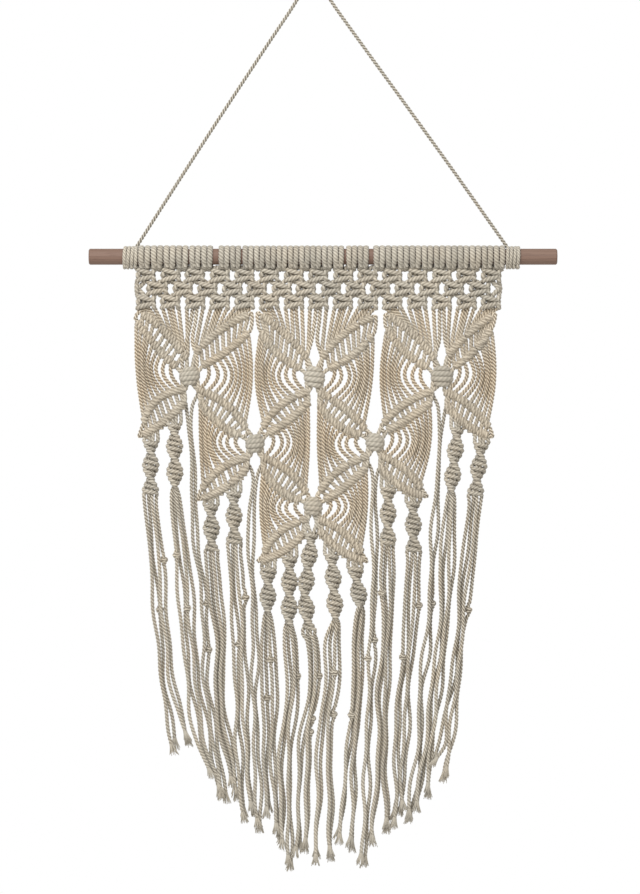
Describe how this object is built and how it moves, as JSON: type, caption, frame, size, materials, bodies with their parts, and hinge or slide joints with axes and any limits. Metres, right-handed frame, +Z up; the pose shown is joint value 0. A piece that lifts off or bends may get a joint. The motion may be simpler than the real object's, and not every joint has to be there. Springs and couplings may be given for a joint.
{
  "type": "macrame wall hanging on a wooden rod",
  "caption": "Knotted cotton cord hanging with square-knot band, leaf flowers, spiral sinnets and loose fringe, on a wooden rod hung by a cord",
  "frame": {"origin": "the point under the hanging cord where it bears on its hook", "axes": "+X to the right along the rod, +Y towards the wall, +Z up; the front faces -Y"},
  "size_m": [0.351, 0.0172, 0.669],
  "materials": {
    "cotton_cord": "natural undyed cotton, three strands laid, matt",
    "rod_wood": "plain turned hardwood, unvarnished, satin"
  },
  "bodies": {
    "root": {"centre_knot_1": "cotton_cord", "centre_knot_2": "cotton_cord", "centre_knot_3": "cotton_cord", "centre_knot_4": "cotton_cord", "centre_knot_5": "cotton_cord", "centre_knot_6": "cotton_cord", "hanger": "cotton_cord", "heading": "cotton_cord", "knot_band": "cotton_cord", "leaf_1_lower_left": "cotton_cord", "leaf_1_lower_right": "cotton_cord", "leaf_1_upper_left": "cotton_cord", "leaf_1_upper_right": "cotton_cord", "leaf_2_lower_left": "cotton_cord", "leaf_2_lower_right": "cotton_cord", "leaf_2_upper_left": "cotton_cord", "leaf_2_upper_right": "cotton_cord", "leaf_3_lower_left": "cotton_cord", "leaf_3_lower_right": "cotton_cord", "leaf_3_upper_left": "cotton_cord", "leaf_3_upper_right": "cotton_cord", "leaf_4_lower_left": "cotton_cord", "leaf_4_lower_right": "cotton_cord", "leaf_5_lower_left": "cotton_cord", "leaf_5_lower_right": "cotton_cord", "leaf_6_lower_left": "cotton_cord", "leaf_6_lower_right": "cotton_cord", "rod": "rod_wood", "sinnet_01": "cotton_cord", "sinnet_02": "cotton_cord", "sinnet_03": "cotton_cord", "sinnet_04": "cotton_cord", "sinnet_05": "cotton_cord", "sinnet_06": "cotton_cord", "sinnet_07": "cotton_cord", "sinnet_08": "cotton_cord", "sinnet_09": "cotton_cord", "sinnet_10": "cotton_cord", "sinnet_11": "cotton_cord", "sinnet_12": "cotton_cord", "sinnet_13": "cotton_cord", "web_1_left": "cotton_cord", "web_1_right": "cotton_cord", "web_1_top_left": "cotton_cord", "web_1_top_right": "cotton_cord", "web_2_left": "cotton_cord", "web_2_right": "cotton_cord", "web_2_top_left": "cotton_cord", "web_2_top_right": "cotton_cord", "web_3_left": "cotton_cord", "web_3_right": "cotton_cord", "web_3_top_left": "cotton_cord", "web_3_top_right": "cotton_cord", "web_4_left": "cotton_cord", "web_4_right": "cotton_cord", "web_5_left": "cotton_cord", "web_5_right": "cotton_cord", "web_6_left": "cotton_cord", "web_6_right": "cotton_cord"}
  },
  "joints": []
}
